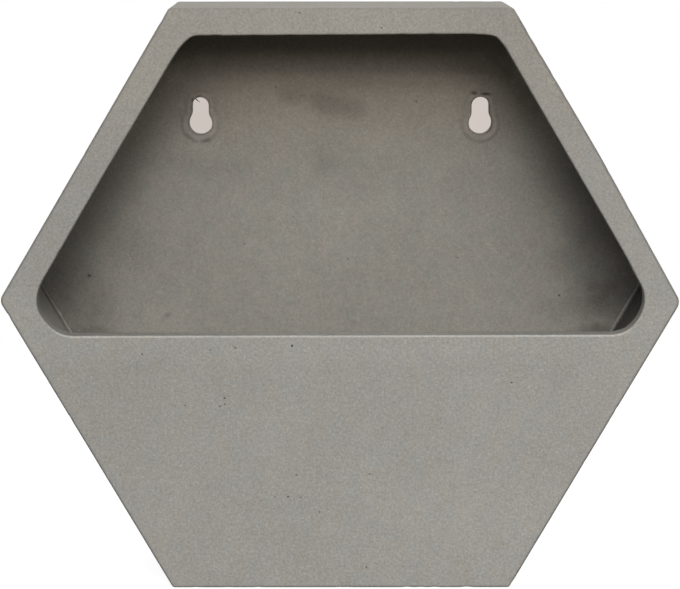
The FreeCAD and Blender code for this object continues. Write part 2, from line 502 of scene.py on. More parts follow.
shell_nicks = edge_nicks(outer, -0.4, FRONT + 0.4, 34) + edge_nicks(outer, -0.3, -0.3, 24)
shell_nicks += edge_nicks(window, 0.4, FRONT + 0.4, 12)
print(len(face_pinholes), "pinholes on the face,", len(shell_nicks), "nicks")

# %% [markdown]
# The mould was not true. Its front corners slipped by up to 0.9 mm, mostly inwards, and its upper
# right side bulged by a millimetre from front to back. These slips fade out over the outer 9 mm,
# so the cavity stays where the panel needs it.


# %% The mould's slips
FRONT_SLIPS = [(-0.52, -0.68), (0.15, -0.02), (0.62, -0.05), (-0.12, 0.52), (0.3, 0.2), (-0.06, 0.12)]
BULGE, FADE = 1.2, 9.0


def mould_slips(points):
    """Moves points near the outside by their side's slip."""
    corners, slips = hexagon(0), np.array(FRONT_SLIPS)
    flat, front = points[:, [0, 2]], np.clip(points[:, 1] / FRONT, 0, 1)
    nearest, shifts = np.full(len(points), np.inf), np.zeros((len(points), 2))
    for i in range(6):
        run = corners[(i + 1) % 6] - corners[i]
        out = unit(np.array([run[1], -run[0]]))
        inset = (corners[i] - flat) @ out
        share = ((flat - corners[i]) @ run / (run @ run)).clip(0, 1)[:, None]
        slip = (slips[i] * (1 - share) + slips[(i + 1) % 6] * share) * front[:, None]
        if i == 0:
            slip = slip + out * BULGE * (1 - np.hypot(2 * share - 1.0, 0.06)).clip(0)
        near = np.clip(1 - inset / FADE, 0, 1)[:, None]
        closer = inset < nearest
        shifts[closer] = (slip * near**2 * (3 - 2 * near))[closer]
        nearest[closer] = inset[closer]
    moved = points.copy()
    moved[:, [0, 2]] += shifts
    return moved


# %% [markdown]
# Now the patches: outside walls, front edge, front face, window lip, the back of the front plate,
# the cavity's walls and the flat rear edge. Each says how much shade or light is painted on it.
# The front edge's rounding is painted darker, a highlight is painted on the sill's edge, the lip is
# painted lighter in the middle than at the sides, and the cavity is painted dark, as painted shade.

# %% Sew the shell
FRONT_EASE, BACK_EASE, LIP_EASE, COVE = 1.2, 0.8, 1.1, 2.4
DRAIN_RADIUS = 7.0
DRAIN_Y = (FRONT + FRONT_PLATE - PANEL) / 2


def upright(y):
    """Puts a sheet of the front view at depth y."""
    return lambda x, z: (x, y, z)


def circle(radius, u, v, count=48):
    angles = np.arange(count) * math.tau / count
    return np.column_stack([u + radius * np.cos(angles), v + radius * np.sin(angles)])


def level_ring(radius, z, count=48):
    """A level ring about the drain's axis."""
    return np.column_stack([circle(radius, 0, DRAIN_Y, count), np.full(count, z)])


shell_skin = Skin()
outside_depths = steps_between(-BACK_EASE - 0.4, FRONT + FRONT_EASE + 0.4, 3.5)
drain_mouth = circle(DRAIN_RADIUS + 1.0, outer.side_length(4) / 2, DRAIN_Y)
walls(shell_skin, outer, outside_depths, 3.5, outside_pinholes, {4: [drain_mouth]})
front_rings = eased(outer, FRONT, FRONT_EASE, -1, 1)
lip_rings = eased(window, FRONT, LIP_EASE, 1, 1)
# The front edge's rounding is painted darker, less so along the top and bottom faces.
front_edge_darkening = np.array([0, 0.2, 0.5, 0.6, 0.6, 0.5, 0.2, 0])[:, None]
shell_skin.raw = np.ravel(front_edge_darkening * np.where(np.abs(outer.points[:, 1]) > 146, 0.55, 1.0))
shell_skin.band(front_rings)
# A highlight is painted along the rounded edge of the sill.
sill_highlight = np.array([0, 0, 0, 0.3, 0.6, 0.6, 0.2, 0])[:, None]
at_sill = ((SILL + 4 - window.points[:, 1]) / 3).clip(0, 1)
shell_skin.raw = -np.ravel(sill_highlight * at_sill)
shell_skin.band(lip_rings)
shell_skin.raw = 0.0
face_loops = [front_rings[-1][:, [0, 2]], lip_rings[-1][:, [0, 2]]]
sheet(shell_skin, face_loops, upright(FRONT), 2.2, face_pinholes)

plate_back = FRONT + FRONT_PLATE
lip_depths = np.append(steps_between(FRONT + LIP_EASE + 0.4, plate_back - 0.3, 2.0), plate_back)
# The lip is painted lighter mid-window and darker to the sides: painted light and shade.
to_the_sides = ((np.abs(window.points[:, 0]) - 40) / 90).clip(0, 1)
shell_skin.raw = np.tile(0.45 * to_the_sides - 0.15, len(lip_depths))
shell_skin.band([window.ring(0, y) for y in lip_depths])
# The cavity is painted dark, as painted shade, which also dims the light it bounces.
shell_skin.raw = 1.0
cove_rings = eased(cavity, plate_back, COVE, -1, 1)
shell_skin.band(cove_rings)
inner_loops = [cove_rings[-1][:, [0, 2]], window.points]
sheet(shell_skin, inner_loops, upright(plate_back), 4.5, scattered((-74, -118), (74, -32), 12))

inside_depths = steps_between(plate_back + COVE + 0.4, -0.6, 3.5)
drain_seat = circle(DRAIN_RADIUS, cavity.side_length(4) / 2, DRAIN_Y)
walls(shell_skin, cavity, inside_depths, 3.5, inside_pinholes, {4: [drain_seat]})
shell_skin.raw = np.repeat([1.0, 0.0], len(cavity.points))
shell_skin.band([cavity.ring(0, -0.6), cavity.ring(0, 0.0)])
shell_skin.raw = 0.0
back_rings = eased(outer, 0.0, BACK_EASE, -1, -1)
shell_skin.band(back_rings)
sheet(shell_skin, [back_rings[-1][:, [0, 2]], cavity.points], upright(0.0), 3.0)

# %% [markdown]
# The drain hole runs through the pocket's floor. Its lower mouth is eased, because that is where
# the mould's core pin left a small fillet.

# %% The drain hole's bore
floor_in, floor_out = -HEIGHT / 2 + WALL, -HEIGHT / 2
bore_rings = [level_ring(DRAIN_RADIUS, floor_in)]
for k in range(6):
    angle = math.pi / 2 * k / 5
    radius, z = DRAIN_RADIUS + 1 - math.cos(angle), floor_out + 1 - math.sin(angle)
    bore_rings.append(level_ring(radius, z))
shell_skin.band(bore_rings)

shell = weld("concrete_shell", shell_skin, [(60, 0.10, 1), (14, 0.05, 2)], shell_nicks, mould_slips)
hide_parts("planter_shell")
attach(shell, "planter")

# %% [markdown]
# ## The back panel
#
# The panel is a second casting. Round each keyhole the concrete swelled into a soft collar about
# the pin that formed the hole, and the face carries pits, a few dents and a deeper wave. The
# collar could be a separate ring, but it grew out of the slab, so we build the slab flat, with
# close rings round the keyholes, and then draw the skin forwards where the collar stands.

# %% Pits and dents on the panel
PANEL_FRONT = -PANEL
panel_pits = [
    (-135.5, 3.0, 0.7, 0.9), (-34.5, 104.5, 0.45, 0.5), (-70.5, 45.0, 0.4, 0.5),
    (40.5, 97.0, 0.5, 0.6), (-21.0, 100.0, 0.4, 0.5), (4.0, 12.0, 0.45, 0.5),
    (-52.0, 20.0, 0.4, 0.5), (63.0, 12.5, 0.45, 0.5), (118.0, -8.0, 0.6, 0.7),
]
panel_pits += [m for m in scattered((-105, -118), (105, -34), 14) if abs(m[0]) < 118 + m[1] * 0.58]
panel_back_pits = [m for m in scattered((-80, -120), (80, 60), 26)]
panel_dents = [
    ((71.6, PANEL_FRONT - 0.8, 101.3), 1.2, 0.5), ((77.9, PANEL_FRONT - 0.8, 100.8), 1.5, 0.5),
    ((-94.0, PANEL_FRONT, -18.5), 2.0, 0.3), ((-151.0, PANEL_FRONT, 8.0), 2.4, 0.3),
]
COLLAR = 0.8


def collar_swell(points):
    """Draws the face forwards round the keyholes, further below each hole than above it."""
    swollen = points.copy()
    for keyhole in keyholes:
        flat = points[:, [0, 2]]
        middle = keyhole.points.mean(0)
        near = np.abs(flat - middle).max(1) < 24
        gaps = np.linalg.norm(flat[near, None] - keyhole.points, axis=2).min(1)
        gaps[within(flat[near], keyhole.points)] = 0.0
        low = np.clip((middle[1] + 9 - flat[near, 1]) / 18, 0, 1)
        fade = np.clip((gaps / (0.72 + 0.28 * low) - 2.8) / 2.1, 0, 1)
        height = COLLAR * (1 - fade**2 * (3 - 2 * fade)) * (0.8 + 0.2 * low)
        swollen[near, 1] += height * points[near, 1] / PANEL
    return swollen


# %% [markdown]
# The panel's own patches are an eased rim, front and rear, and close rings round each keyhole. The
# rings also carry patchy painted shade at the hole's edge and strongest at the collar's foot, and
# painted light on the collar's crest.

# %% Sew the panel
COLLAR_PAINTED_LIGHT_AND_SHADE = [0.3, 0.2, 0.1, 0, 0, 0, 0, -0.05, -0.10, -0.05, 0.08, 0.15, 0.12, 0.03]
panel_skin = Skin()
panel_front = eased(cavity, PANEL_FRONT, 0.8, -1, 1, start=-GAP, steps=3)
panel_rear = eased(cavity, 0.0, 0.6, -1, -1, start=-GAP, steps=3)
panel_skin.band(panel_front)
panel_skin.band(panel_rear)
panel_skin.band([cavity.ring(-GAP, y) for y in steps_between(PANEL_FRONT + 1.2, -1.0, 3.6)])
front_loops = [panel_front[-1][:, [0, 2]]]
rear_loops = [panel_rear[-1][:, [0, 2]]]
for keyhole in keyholes:
    mouth = eased(keyhole, PANEL_FRONT, 1.1, 1, 1, margin=0.3)
    mouth += [keyhole.ring(out, PANEL_FRONT) for out in (1.9, 2.5, 3.1, 3.8, 4.5, 5.2)]
    exit_rings = eased(keyhole, 0.0, 0.7, 1, -1, steps=3)
    # Painted shade at the hole's edge and round the collar's foot, painted light on its crest.
    patchy = 2.4 * ripple(mouth[0], 7, 12) ** 1.6
    panel_skin.raw = np.ravel(np.outer(COLLAR_PAINTED_LIGHT_AND_SHADE, patchy))
    panel_skin.band(mouth)
    panel_skin.raw = 0.0
    panel_skin.band(exit_rings)
    panel_skin.band([keyhole.ring(0, y) for y in steps_between(PANEL_FRONT + 1.4, -1.1, 1.6)])
    front_loops.append(mouth[-1][:, [0, 2]])
    rear_loops.append(exit_rings[-1][:, [0, 2]])
sheet(panel_skin, front_loops, upright(PANEL_FRONT), 2.1, panel_pits)
sheet(panel_skin, rear_loops, upright(0.0), 3.4, panel_back_pits)
waves = [(52, 0.20, 3), (11, 0.07, 4)]
panel = weld("concrete_back_panel", panel_skin, waves, panel_dents, collar_swell)
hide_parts("back_panel")
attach(panel, "planter")

# %% [markdown]
# The concrete is held together by short fibres, and one of them sticks out of the left keyhole's
# edge. It is a thin tapered rod, bent a little, rooted in the panel.

# %% The loose fibre
fibre_path = [(-78.6, -11.2, 99.6), (-77.4, -11.6, 98.5), (-76.3, -11.7, 97.4), (-75.2, -11.5, 96.6)]
fibre_rings = []
for (x, y, z), thick in zip(fibre_path, (0.30, 0.30, 0.24, 0.10)):
    turn = np.arange(8) * math.tau / 8
    aside = thick * np.cos(turn) * 0.7
    fibre_rings.append(np.column_stack([x + aside, y + thick * np.sin(turn), z + aside]))
fibre_skin = Skin()
fibre_skin.band(fibre_rings)
fibre_skin.cap(fibre_rings[0], fibre_path[0])
fibre_skin.cap(fibre_rings[-1], fibre_path[-1])
fibre = weld("loose_fibre", fibre_skin, [(2.0, 0.02, 13)])
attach(fibre, "planter")

# %% [markdown]
# ## The bonding mortar
#
# The panel sits in mortar, which fills the gap all round and squeezes out inside as a small bead.
# A tube with a fixed section would look like a rubber gasket. A mason pulls the bead with a
# fingertip, so its section is hollow and its width wanders. We give each station along the cavity
# its own width, from smooth noise, and leave one lump where a drop set.

# %% Sweep the bead
bead_x, bead_z = cavity.points.T
bead_path = np.column_stack([bead_x, np.zeros(len(bead_x)), bead_z])
bead_leg = 0.25 + 0.7 * ripple(bead_path, 13, 5) ** 2 + 0.2 * ripple(bead_path, 3.5, 6)
lump = np.exp(-((np.hypot(bead_x + 151.0, bead_z + 17.0) / 2.2) ** 2))
bead_leg += 0.9 * lump
rear_dip = 0.2 + 0.35 * ripple(bead_path, 24, 8)
TUCK = 0.16

bead_rings = []
for share in np.linspace(0, 1, 7):
    angle = math.pi / 2 * share
    out = -GAP - bead_leg * (1 - math.sin(angle)) * (share < 1)
    rise = bead_leg * (1 - math.cos(angle)) + 0.05 * math.sin(math.pi * share)
    bead_rings.append(cavity.ring(out + (TUCK + GAP) * (share == 1), PANEL_FRONT - rise))
in_the_gap = [(TUCK, -6.0), (TUCK, -rear_dip), (-GAP / 2, -rear_dip - 0.15)]
in_the_gap += [(-GAP - TUCK, y) for y in (-rear_dip - 0.35, -6.0, PANEL_FRONT + 0.4)]
bead_rings += [cavity.ring(out, y) for out, y in in_the_gap] + [bead_rings[0]]
bead_skin = Skin()
# The bead is painted darker where it meets the wall, as painted shade in the crease, and a little
# lighter towards its foot.
bead_tone_and_painted_shade = np.array([-0.1, -0.2, -0.2, 0.0, 0.2, 0.5, 0.9, 0.5, 0.1, 0.1, 0.1, 0.3, 0.5, -0.1])
bead_skin.raw = np.repeat(bead_tone_and_painted_shade, len(cavity.points))
bead_skin.band(bead_rings)
mortar = weld("bonding_mortar", bead_skin, [(4.0, 0.06, 9)])
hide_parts("bond_seam")
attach(mortar, "planter")
print("bead from", bead_leg.min().round(2), "to", bead_leg.max().round(2), "mm")

# %% [markdown]
# ## The drain plug
#
# The plug is moulded rubber: a flange that rests on the pocket's floor, a stem that fills the
# hole, and a nub to pull it by. It could be a cylinder with bevels, but moulded rubber gives itself
# away by its details: a waisted nub with a dimple, a fine groove on the flange, the parting line on
# its rim and a hollow core. All of these are round, so one profile turns them all.

# %% Turn the plug
plug_low, plug_high = [np.array(corner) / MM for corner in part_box("drain_plug")]
FLANGE_RADIUS = (plug_high[0] - plug_low[0]) / 2
FLANGE_THICK, STEM_RADIUS, CORE_RADIUS, CORE_DEPTH = 3.0, 6.95, 3.0, 6.0
seat, crown, foot = floor_in, plug_high[2], plug_low[2]
flange_top = seat + FLANGE_THICK


def bend(centre_r, centre_z, radius, first, last, steps=5):
    """An arc of the profile, by angles in degrees."""
    angles = np.radians(np.linspace(first, last, steps + 1))
    return [(centre_r + radius * math.cos(a), centre_z + radius * math.sin(a)) for a in angles]


profile = [(0.0, crown - 0.5), (0.9, crown - 0.47), (1.7, crown - 0.25)]
profile += bend(3.3, crown - 0.9, 0.9, 90, 0) + [(4.15, crown - 1.5), (3.75, crown - 2.4)]
profile += [(3.7, crown - 3.1)] + bend(4.9, flange_top + 1.2, 1.2, 180, 270)
profile += [(6.9, flange_top), (7.1, flange_top - 0.05), (7.3, flange_top - 0.25)]
profile += [(7.6, flange_top - 0.25), (7.8, flange_top - 0.05), (8.0, flange_top)]
profile += bend(FLANGE_RADIUS - 1.0, flange_top - 1.0, 1.0, 90, 8)
profile += [(FLANGE_RADIUS - 0.08, seat + 1.66), (FLANGE_RADIUS, seat + 1.6)]
profile += [(FLANGE_RADIUS, seat + 1.45), (FLANGE_RADIUS - 0.08, seat + 1.39)]
profile += bend(FLANGE_RADIUS - 0.7, seat + 0.65, 0.65, 0, -90)
profile += [(STEM_RADIUS + 0.4, seat), (STEM_RADIUS, seat - 0.02), (STEM_RADIUS, seat - 2.2)]
for ring_z in (seat - 3.0, seat - 5.4):
    profile += [(STEM_RADIUS - 0.05, ring_z + 0.5), (STEM_RADIUS - 0.3, ring_z + 0.3)]
    profile += [(STEM_RADIUS - 0.3, ring_z - 0.3), (STEM_RADIUS - 0.05, ring_z - 0.5)]
profile += [(STEM_RADIUS, foot + 1.6)] + bend(STEM_RADIUS - 0.9, foot + 0.6, 0.6, 0, -90)
profile += [(CORE_RADIUS + 0.4, foot), (CORE_RADIUS + 0.1, foot + 0.12), (CORE_RADIUS, foot + 0.4)]
profile += [(CORE_RADIUS, foot + 3.0), (CORE_RADIUS, foot + CORE_DEPTH - 0.7)]
profile += bend(CORE_RADIUS - 0.7, foot + CORE_DEPTH - 0.7, 0.7, 0, 90) + [(0.0, foot + CORE_DEPTH)]

plug_rings = [level_ring(radius, z, 72) for radius, z in profile[1:-1]]
plug_skin = Skin()
plug_skin.band(plug_rings)
plug_skin.cap(plug_rings[0], (0, DRAIN_Y, profile[0][1]))
plug_skin.cap(plug_rings[-1], (0, DRAIN_Y, profile[-1][1]))
plug = weld("rubber_drain_plug", plug_skin, [(6, 0.02, 11)])
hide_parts("drain_plug")
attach(plug, "plug")

# %% [markdown]
# ## A small language for finishes
#
# A finish is a formula over the surface: how light the concrete is here, how rough, how bumpy.
# Wiring nodes by hand hides the formula. `Value` wraps a node's output, so that `1 - mask * 0.4`
# adds the Math nodes itself, and `Wiring.node` adds any other node in one line. Colours go through
# Mix and Vector Math, since Math would turn them grey. A material is a `Finish`, which is a wiring
# that knows its place on the piece. The world gets a plain wiring.


# %% Values and wiring
class Value:
    """A node's output. Sums written with it become Math nodes."""

    def __init__(self, wiring, socket):
        self.wiring, self.socket = wiring, socket

    def maths(self, operation, *inputs):
        return self.wiring.node("Math", {"operation": operation}, dict(enumerate(inputs)))

    def __add__(self, other):
        return self.maths("ADD", self, other)

    def __sub__(self, other):
        return self.maths("SUBTRACT", self, other)

    def __rsub__(self, other):
        return self.maths("SUBTRACT", other, self)

    def __mul__(self, other):
        return self.maths("MULTIPLY", self, other)

    __radd__, __rmul__ = __add__, __mul__

    def above(self, edge):
        return self.maths("GREATER_THAN", self, edge)

    def at_least(self, least):
        return self.maths("MAXIMUM", self, least)

    def ramp(self, start, end):
        """Runs smoothly from 0 at start to 1 at end."""
        sockets = {"Value": self, "From Min": start, "From Max": end}
        return self.wiring.node("MapRange", {"interpolation_type": "SMOOTHSTEP"}, sockets)


class Wiring:
    """The node tree of a material or a world, which formulas add to."""

    def __init__(self, owner):
        owner.use_nodes = True
        self.tree = owner.node_tree
        self.tree.nodes.clear()

    def node(self, kind, settings=None, sockets=None, output=0):
        """Adds a node: its settings first, then the value or link of each socket."""
        made = self.tree.nodes.new("ShaderNode" + kind)
        for name, value in (settings or {}).items():
            setattr(made, name, value)
        for name, value in (sockets or {}).items():
            if isinstance(value, Value):
                self.tree.links.new(value.socket, made.inputs[name])
            else:
                made.inputs[name].default_value = value
        return Value(self, made.outputs[output]) if made.outputs else None


# %% [markdown]
# A finish speaks of the piece: how far along x, y or z a point lies, what the skin kept at its
# points, clouds of a size in millimetres, and flecks of sand.


# %% Finishes
class Finish(Wiring):
    """A material, and what it can ask of the piece that wears it."""

    def __init__(self, name):
        self.material = bpy.data.materials.new(name)
        super().__init__(self.material)
        self.place = self.node("TexCoord", output="Object")

    def along(self, axis):
        """How far along X, Y or Z, in metres."""
        return self.node("SeparateXYZ", sockets={0: self.place}, output=axis)

    def inside(self):
        """1 in the cavity, 0 on the panel's back."""
        return self.along("Y").ramp(-0.004, -0.010)

    def kept(self, name):
        """What the skin kept at its points: a pinhole's depth, or its painted shade or light."""
        return self.node("Attribute", {"attribute_name": name}, output="Fac")

    def clouds(self, size, detail=2.0, rough=0.5, shift=0.0):
        """Noise about 0.5, with clouds of the given size in millimetres."""
        settings = {"noise_dimensions": "4D"}
        sockets = {"Vector": self.place, "W": shift, "Scale": 1 / (size * MM)}
        sockets.update({"Detail": detail, "Roughness": rough})
        return self.node("TexNoise", settings, sockets)

    def flecks(self, spacing, radius, share):
        """Round flecks: one in each Voronoi cell, of which only a share is kept."""
        sockets = {"Vector": self.place, "Scale": 1 / (spacing * MM)}
        reach = self.node("TexVoronoi", sockets=sockets, output="Distance")
        tints = self.node("TexVoronoi", sockets=sockets, output="Color")
        pick = self.node("SeparateColor", sockets={"Color": tints})
        return reach.ramp(radius / spacing, 0.6 * radius / spacing) * pick.above(1 - share)

    def mix(self, factor, first, second):
        return self.node("Mix", {"data_type": "RGBA"}, {0: factor, 6: first, 7: second}, 2)

    def length(self, vector):
        return self.node("VectorMath", {"operation": "LENGTH"}, {0: vector}, "Value")

    def scaled(self, colour, factor):
        sockets = {0: colour, "Scale": factor}
        return self.node("VectorMath", {"operation": "SCALE"}, sockets)

    def surface(self, **sockets):
        """The Principled shader, straight to the output."""
        named = {name.replace("_", " "): value for name, value in sockets.items()}
        self.show(self.node("BsdfPrincipled", sockets=named))

    def show(self, shader):
        self.node("OutputMaterial", sockets={"Surface": shader})

    def dress(self, piece):
        piece.data.materials.clear()
        piece.data.materials.append(self.material)
        print(self.material.name, "on", piece.name, "with", len(self.tree.nodes), "nodes")


# %% [markdown]
# ## The shell's finish: blasted concrete
#
# The shell was rubbed down after casting, which opens the surface: fine sand shows as pale flecks
# and a few dark ones, over a grey that drifts slowly between warm and cool. At arm's length the
# grain is what says concrete, so it is at its true size, about half a millimetre. It could be one
# noise, but sand is separate grains, so the flecks are cells and only their ground is noise. The
# cavity's left walls are made lighter and its right ones darker, which makes up for light in the
# real room that our few lamps don't give.


# %% Concrete, as a function
def concrete(name, warm, cool, clouds, sand=0.88, marks=None, shift=0.0, relief=0.05, stain=None):
    """Two greys under clouds and sand. The stain tints what is high up and inside."""
    finish = Finish(name)
    slow = finish.clouds(46, 2.0, 0.5, shift)
    middle = finish.clouds(7, 2.0, 0.5, shift + 3)
    grain = finish.clouds(1.3, 2.0, 0.75, shift + 5)
    pale = finish.flecks(1.6, 0.42, 0.40)
    dark = finish.flecks(2.3, 0.38, 0.25)
    hue = finish.clouds(12, 2.0, 0.6, shift + 8)
    level = 1 + clouds * 2 * (slow - 0.5) + 0.16 * (middle - 0.5) + sand * (grain - 0.5)
    level = level * (1 + 0.20 * pale) * (1 - 0.24 * dark)
    # Pinholes are painted darker inside, as painted shade, and the skin's painted shade goes on top.
    level = level * (1 - 0.45 * finish.kept("pinhole").ramp(0.05, 0.6)) * (1 - 0.58 * finish.kept("raw"))
    if marks:
        level = marks(finish, level)
    colour = finish.mix(hue.ramp(0.36, 0.64), warm, cool)
    if stain:
        colour = finish.mix(finish.along("Z").ramp(0.050, 0.125) * finish.inside(), colour, stain)
    colour = finish.scaled(colour, level)
    relief_height = grain * 0.6 + pale * 0.25 - dark * 0.5 + finish.clouds(0.35, 1.0, 0.5, shift) * 0.3
    bump = {"Height": relief_height, "Distance": relief * MM, "Strength": 1.0}
    rough = 0.86 - 0.10 * pale + 0.08 * (middle - 0.5)
    normal = finish.node("Bump", sockets=bump)
    finish.surface(Base_Color=colour, Roughness=rough, Specular_IOR_Level=0.3, Normal=normal)
    return finish


def shell_painted_light_and_shade(finish, level):
    # All of this is painted light and shade: the shell is lighter to the right and low down, darker near
    # the top and upper right, and its cavity's left walls lighter and right ones darker.
    across, height = finish.along("X"), finish.along("Z")
    painted_light_right_and_low = 0.95 + 0.06 * across.ramp(-0.15, 0.12) + 0.07 * height.ramp(0.0, -0.15)
    upper_right = across.ramp(0.01, 0.08) * height.ramp(0.06, 0.13)
    rim = (1 - 0.07 * height.ramp(-0.015, 0.03)) * (1 - 0.09 * upper_right)
    inner = finish.kept("raw").ramp(0.7, 0.9)
    walls_apart = 1 + inner * (1.6 * across.ramp(-0.10, -0.14) - 0.38 * across.ramp(0.10, 0.14))
    return level * painted_light_right_and_low * rim * walls_apart * (1 + 0.05 * height.ramp(-0.036, -0.024))


shell_finish = concrete(
    "blasted grey concrete", (0.3175, 0.302, 0.2695, 1), (0.3105, 0.302, 0.2795, 1),
    clouds=0.085, marks=shell_painted_light_and_shade, stain=(0.322, 0.301, 0.264, 1),
)
shell_finish.dress(shell)

# %% [markdown]
# ## The panel's finish: concrete as it left the mould
#
# Nobody rubbed the panel, so it is darker and browner, its clouds are stronger, and it keeps the
# marks of its making: damp smudges where the release agent pooled, a scratch and a few spots.
# Many of the listed smudges are painted shade instead: in the lower corners, along the walls,
# under the rim's corners and slanted sides, round the left keyhole's collar, above the right
# keyhole, and in the dents and a pit. Each mark is an ellipse, given by its place x and z, half
# width and half height in millimetres, turn in degrees and strength, with its edge broken up by
# noise. A painted texture could hold them, but these stay sharp at any distance. The face is also
# painted lighter towards the top and darker close under the rim, as painted light and shade that
# the lamps don't give.

# %% Marks on the panel
# Many of these smudges are painted shade: corners, walls, under the rim, collar arcs and dents.
SMUDGES_AND_PAINTED_SHADE = [
    (-27, 99.5, 9, 6, 0, 0.20), (-7, 96, 12, 8, -12, 0.27), (6, 93.5, 9, 7, 0, 0.20),
    (-9, 64, 11, 8, -30, 0.13), (-64, 62, 24, 7, 0, 0.07), (142, -9, 22, 19, 0, 0.50),
    (130, 16, 14, 22, 0, 0.22), (-142, -12, 25, 28, 0, 0.34), (118, -14, 16, 10, 0, 0.10),
    (119, 40, 26, 62, 30, 0.15), (-122, 25, 26, 55, -30, 0.12), (-135.5, 3, 2.2, 1.8, 0, 0.30),
    (-94, -18.5, 3.4, 1.6, 25, 0.20), (71.6, 101.4, 1.9, 1.3, 0, 0.70),
    (78.0, 100.9, 3.2, 1.0, -4, 0.75), (75.0, 101.1, 4.5, 0.8, 0, 0.20),
    (-78.8, 97.9, 1.6, 1.3, 30, 0.50), (-76.0, 99.9, 2.0, 0.8, 20, 0.40),
    (-71.8, 76.2, 3.6, 1.5, 5, 0.24), (-80.8, 78.3, 3.0, 1.4, -40, 0.20),
    (-85.6, 90.0, 1.3, 5.0, 8, 0.14), (-76, 92, 26, 24, 0, 0.13), (84, 92, 26, 28, 0, 0.16),
    (95, 104, 10, 24, 30, 0.26), (-97, 112, 7, 22, -30, 0.35), (139, -27, 14, 4.5, 0, 0.42),
    (-134, -27, 16, 4.5, 0, 0.24), (-85, 118, 12, 9, 0, 0.20), (89, 116, 14, 10, 0, 0.24),
    (-16, 100.5, 5, 6, 0, 0.10), (-88, 64, 18, 10, 0, 0.08), (-116, 20, 20, 16, 0, 0.08),
    (119, 9, 12, 12, 0, 0.10),
]
SCUFFS = [
    (81.8, 37, 13, 0.55, 18, 0.10), (-70.5, 45, 1.4, 0.7, 30, 0.16), (-97, -6, 2.4, 1.4, 0, 0.12),
    (18, 76, 18, 11, 0, 0.08),
]


def panel_marks_and_painted_light(finish, level):
    drift = finish.clouds(7, 2.0, 0.6, 21)
    noise_sockets = {"Vector": finish.place, "Scale": 150.0, "Detail": 2.0}
    tear = finish.node("TexNoise", sockets=noise_sockets, output="Color")
    pull = finish.node("VectorMath", {"operation": "SUBTRACT"}, {0: tear, 1: (0.5, 0.5, 0.5)})
    pull = finish.scaled(pull, 0.006)
    torn = finish.node("VectorMath", {"operation": "ADD"}, {0: finish.place, 1: pull})
    up, inside = finish.along("Z"), finish.inside()
    # Painted light and shade by height: lighter towards the top, darker close under the rim.
    level = level * (1 + 0.15 * inside * up.ramp(0.050, 0.085))
    level = level * (1 + 0.15 * inside * up.ramp(0.103, 0.114))
    level = level * (1 - 0.33 * inside * up.ramp(0.114, 0.131))
    for marks, sign in ((SMUDGES_AND_PAINTED_SHADE, -1), (SCUFFS, 1)):
        for x, z, wide, high, turn, strength in marks:
            frame_of_mark = {
                "Vector": torn if wide > 4 and high > 1 else finish.place,
                "Location": (x * MM, PANEL_FRONT * MM, z * MM),
                "Rotation": (0, -math.radians(turn), 0),
                "Scale": (wide * MM, 8 * MM, high * MM),
            }
            local = finish.node("Mapping", {"vector_type": "TEXTURE"}, frame_of_mark)
            fade = finish.length(local).ramp(1.25, 0.15)
            level = level * (1 + sign * strength * fade * (0.55 + 0.9 * drift))
    return level


panel_finish = concrete(
    "moulded grey concrete", (0.281, 0.258, 0.224, 1), (0.266, 0.256, 0.224, 1),
    clouds=0.115, sand=0.72, marks=panel_marks_and_painted_light, shift=40.0, relief=0.07, stain=(0.300, 0.258, 0.205, 1),
)
panel_finish.dress(panel)

# %% [markdown]
# ## Mortar and rubber
#
# The bonding mortar is a slightly paler mix than the panel's, and it dried unevenly. The loose
# fibre is dark brown. The rubber is nearly black, with a dull bloom in faint clouds.

# %% Mortar, fibre and rubber finishes
fibre_finish = Finish("dark fibre")
fibre_streaks = fibre_finish.clouds(0.4, 2.0)
fibre_finish.surface(
    Base_Color=fibre_finish.mix(fibre_streaks, (0.020, 0.017, 0.013, 1), (0.050, 0.043, 0.034, 1)),
    Roughness=0.6 + 0.2 * fibre_streaks,
)
fibre_finish.dress(fibre)

mortar_finish = concrete(
    "bonding mortar", (0.300, 0.279, 0.247, 1), (0.290, 0.277, 0.250, 1),
    clouds=0.14, shift=70.0, relief=0.08,
)
mortar_finish.dress(mortar)

rubber_finish = Finish("dark moulded rubber")
bloom = rubber_finish.clouds(5, 3.0, 0.6).ramp(0.42, 0.66)
skin_grain = rubber_finish.clouds(0.25, 2.0, 0.6, 4)
rubber_bump = {"Height": skin_grain, "Distance": 0.02 * MM, "Strength": 0.8}
rubber_finish.surface(
    Base_Color=rubber_finish.mix(bloom, (0.022, 0.021, 0.021, 1), (0.050, 0.049, 0.047, 1)),
    Roughness=0.50 + 0.18 * bloom + 0.2 * (skin_grain - 0.5),
    Normal=rubber_finish.node("Bump", sockets=rubber_bump),
)
rubber_finish.dress(plug)

# %% [markdown]
# ## The stage
#
# The planter stands on a pale floor that runs out to white. A white floor would throw light up
# under the rim, where the photo is nearly black, so this one is white only where it is seen,
# straight on or in gloss, and dull to everything else. Near the planter it keeps a soft shadow.
# Behind the keyholes hangs a small patch, the wall that shows through them. It is one-sided, so it
# vanishes from behind.

# %% Floor and wall patch
def flat_piece(name, corners):
    return object_from(name, corners, [(0, 1, 2, 3)])


